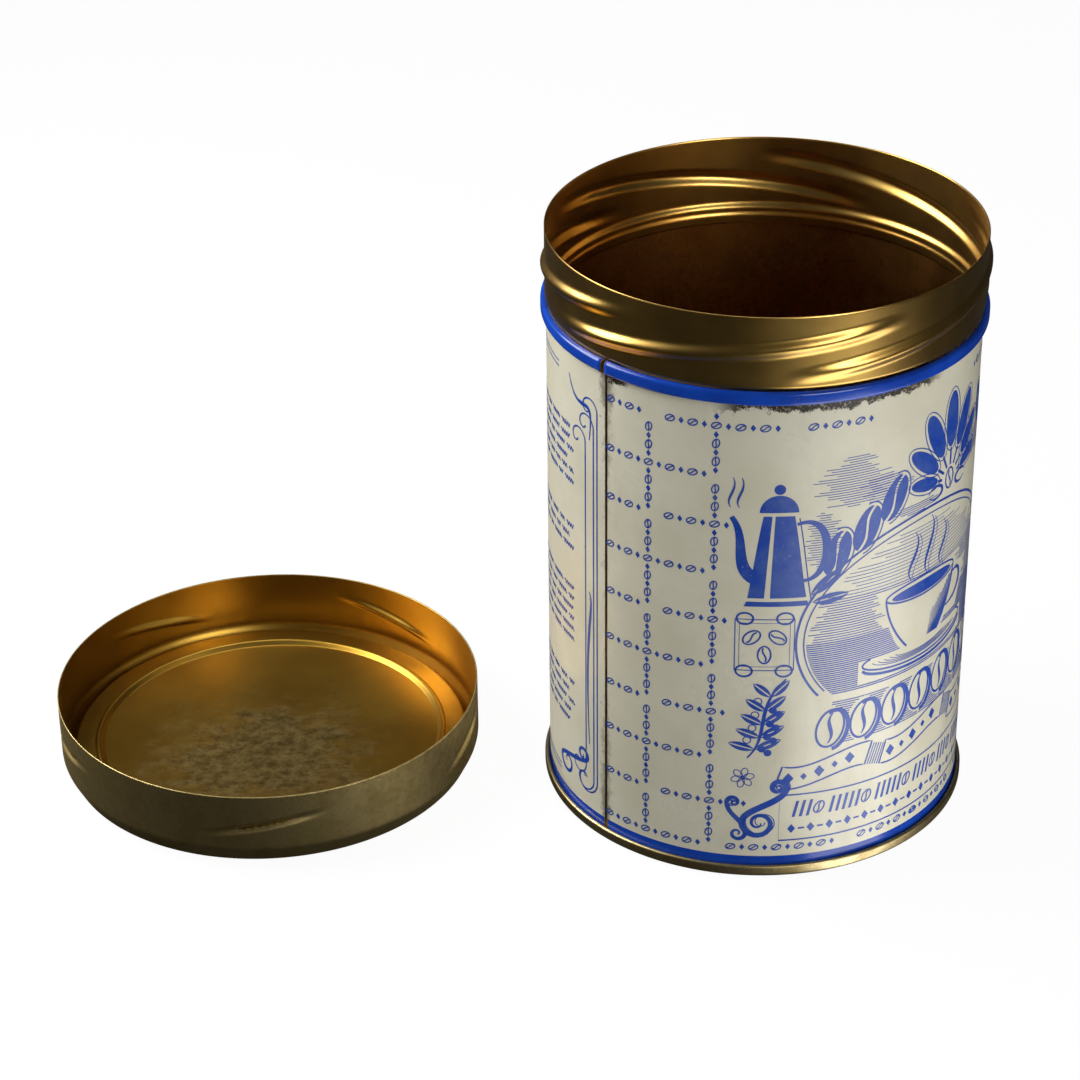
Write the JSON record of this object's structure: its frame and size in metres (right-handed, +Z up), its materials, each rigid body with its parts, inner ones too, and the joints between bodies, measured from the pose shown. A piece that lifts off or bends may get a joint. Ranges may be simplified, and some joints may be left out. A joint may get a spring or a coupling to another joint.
{
  "type": "coffee tin",
  "caption": "Screw-top lithographed coffee tin, open, with a threaded gold collar and its screw lid lying upside down beside it.",
  "frame": {"origin": "centre of the tin's base ring, on the surface that the tin stands on", "axes": "+Z up along the tin's axis; -Y is the side that the picture looks at; the lid lies towards -X"},
  "size_m": [0.226, 0.1118, 0.1465],
  "materials": {
    "cream_enamel": "glossy baked ivory enamel on tinplate, worn under the bead and along the side seam",
    "gold_lacquer": "transparent gold lacquer on polished tinplate",
    "seam_gold": "gold lacquer on tinplate, dulled",
    "compound": "matt sealing compound",
    "lid_gold": "gold lacquer, bright inside, worn and dull outside",
    "blue_ink": "glossy cobalt blue litho ink over the enamel"
  },
  "bodies": {
    "tin": {"body_wall": "cream_enamel", "neck_ring": "gold_lacquer", "bottom_end": "seam_gold", "seam_compound": "compound"},
    "lid": {"lid": "lid_gold"}
  },
  "joints": [
    {"name": "lid_lift", "type": "slide", "parent": "tin", "child": "lid", "axis": [0, 0, 1], "range_m": [0, 0.17]}
  ]
}
